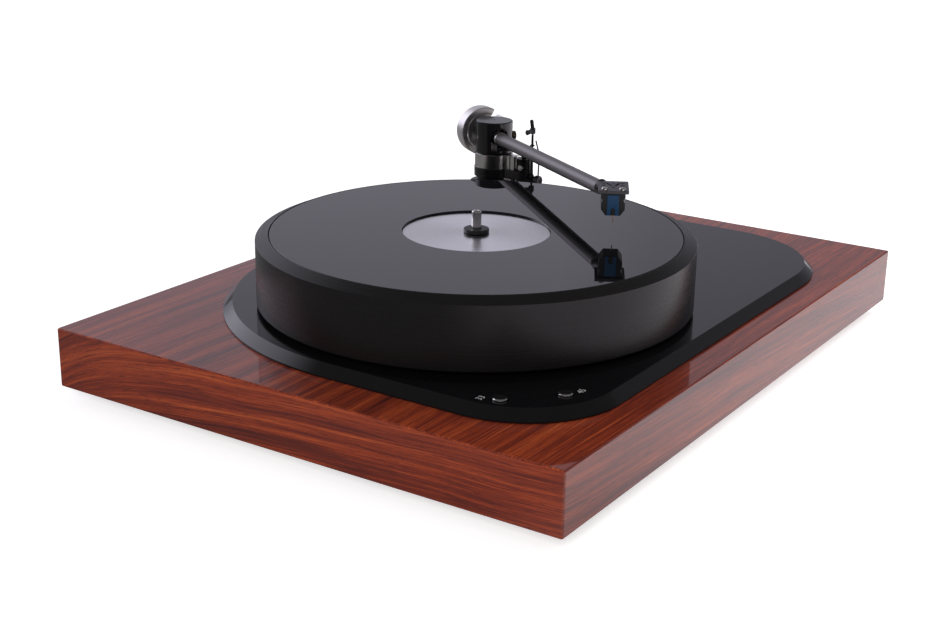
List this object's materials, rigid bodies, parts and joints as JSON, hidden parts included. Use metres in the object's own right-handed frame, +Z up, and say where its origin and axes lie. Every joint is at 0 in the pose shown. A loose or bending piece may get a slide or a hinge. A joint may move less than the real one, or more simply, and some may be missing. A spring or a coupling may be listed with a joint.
{
  "type": "turntable record player",
  "caption": "Direct-drive record player with a wood plinth, black plate, thick platter with inlaid mat, and a pivoted tonearm with cue lift, rest and counterweight.",
  "frame": {"origin": "on the surface the feet stand on, under the middle of the plinth", "axes": "+X to the right of a person in front of the player, +Y to the rear, +Z up"},
  "size_m": [0.543, 0.417, 0.1513],
  "materials": {
    "rosewood": "gloss lacquer",
    "black_gloss": "polished",
    "black_anodised": "satin black anodised",
    "black_glass": "polished black",
    "turned_steel": "fine turned",
    "polished_steel": "polished",
    "bearing_steel": "ground",
    "bronze": "turned",
    "gilt": "gold plated",
    "arm_grey": "satin anodised",
    "black_metal": "satin black",
    "black_plastic": "fine grain",
    "rubber": "matte",
    "copper_wound": "enamelled winding",
    "magnet": "ground",
    "board_green": "solder mask",
    "thrust_plastic": "natural",
    "blue_face": "satin blue"
  },
  "bodies": {
    "base": {"plinth": "rosewood", "bottom_cover": "black_metal", "foot_front_left": "black_anodised", "foot_pad_front_left": "rubber", "foot_front_right": "black_anodised", "foot_pad_front_right": "rubber", "foot_rear_left": "black_anodised", "foot_pad_rear_left": "rubber", "foot_rear_right": "black_anodised", "foot_pad_rear_right": "rubber", "top_plate": "black_gloss", "switch_33": "black_plastic", "switch_45": "black_plastic", "bearing_housing": "bearing_steel", "bearing_bush": "bronze", "thrust_pad": "thrust_plastic", "thrust_ball": "polished_steel", "stator_board": "board_green", "stator_core": "copper_wound", "control_board": "board_green", "terminal_panel": "black_metal", "signal_jack_left": "gilt", "signal_jack_right": "gilt", "ground_post": "polished_steel", "power_inlet": "black_plastic", "arm_base": "black_anodised", "arm_base_nut": "turned_steel", "height_clamp_screw": "black_anodised"},
    "platter": {"bearing_shaft": "polished_steel", "platter": "black_anodised", "rotor_ring": "magnet", "mat": "black_glass", "label_disc": "turned_steel"},
    "washer": {"spindle_washer": "black_plastic"},
    "button_33": {"button_33": "polished_steel"},
    "button_45": {"button_45": "polished_steel"},
    "pillar": {"arm_pillar": "bearing_steel", "side_bracket": "black_anodised", "bracket_screw": "polished_steel", "rest_post": "black_metal", "bearing_body": "polished_steel"},
    "lift": {"lift_bar": "black_metal"},
    "cue_lever": {"cue_lever": "turned_steel"},
    "rest_hook": {"rest_hook": "black_plastic"},
    "yaw": {"yaw_shaft": "bearing_steel", "yaw_housing": "black_anodised", "pivot_screw_right": "bronze", "pivot_screw_left": "bearing_steel"},
    "arm": {"arm_hub": "black_anodised", "counterweight_stub": "turned_steel", "tube_ferrule": "polished_steel", "arm_tube": "arm_grey", "headshell": "arm_grey", "cartridge_body": "black_plastic", "cartridge_face": "blue_face", "cartridge_screw_left": "polished_steel", "cartridge_screw_right": "polished_steel", "stylus": "gilt"},
    "counterweight": {"counterweight": "polished_steel"}
  },
  "joints": [
    {"name": "platter_spin", "type": "hinge", "parent": "base", "child": "platter", "pos_m": [-0.0622, -0.0089, 0], "axis": [0, 0, 1], "continuous": true},
    {"name": "washer_lift", "type": "slide", "parent": "platter", "child": "washer", "axis": [0, 0, 1], "range_m": [0, 0.013]},
    {"name": "button_33_press", "type": "slide", "parent": "base", "child": "button_33", "axis": [0, 0, -1], "range_m": [0, 0.0008], "stiffness_N_per_m": 600, "springref_m": -0.001},
    {"name": "button_45_press", "type": "slide", "parent": "base", "child": "button_45", "axis": [0, 0, -1], "range_m": [0, 0.0008], "stiffness_N_per_m": 600, "springref_m": -0.001},
    {"name": "arm_height", "type": "slide", "parent": "base", "child": "pillar", "axis": [0, 0, 1], "range_m": [0, 0.006]},
    {"name": "arm_yaw", "type": "hinge", "parent": "pillar", "child": "yaw", "pos_m": [0.1549, 0.1155, 0.1], "axis": [0, 0, 1], "range_deg": [-9.5, 22.5]},
    {"name": "arm_pitch", "type": "hinge", "parent": "yaw", "child": "arm", "pos_m": [0.1549, 0.1155, 0.12955], "axis": [-0.7826, 0.6225, 0], "range_deg": [-1.5, 0]},
    {"name": "counterweight_slide", "type": "slide", "parent": "arm", "child": "counterweight", "axis": [0.6215, 0.7813, -0.057], "range_m": [-0.004, 0.005]},
    {"name": "lift_travel", "type": "slide", "parent": "pillar", "child": "lift", "axis": [0, 0, 1], "range_m": [-0.002, 0]},
    {"name": "cue_lever_turn", "type": "hinge", "parent": "pillar", "child": "cue_lever", "pos_m": [0.15049, 0.06971, 0.0975], "axis": [-0.0958, -0.9954, 0], "range_deg": [-45, 0]},
    {"name": "rest_hook_turn", "type": "hinge", "parent": "pillar", "child": "rest_hook", "pos_m": [0.15088, 0.07379, 0.138], "axis": [0, 0, 1], "range_deg": [0, 90]}
  ],
  "couplings": [
    {"joint": "lift_travel", "follows": "arm_pitch", "m_per_rad": 0.0763},
    {"joint": "cue_lever_turn", "follows": "arm_pitch", "ratio": 29.9}
  ]
}
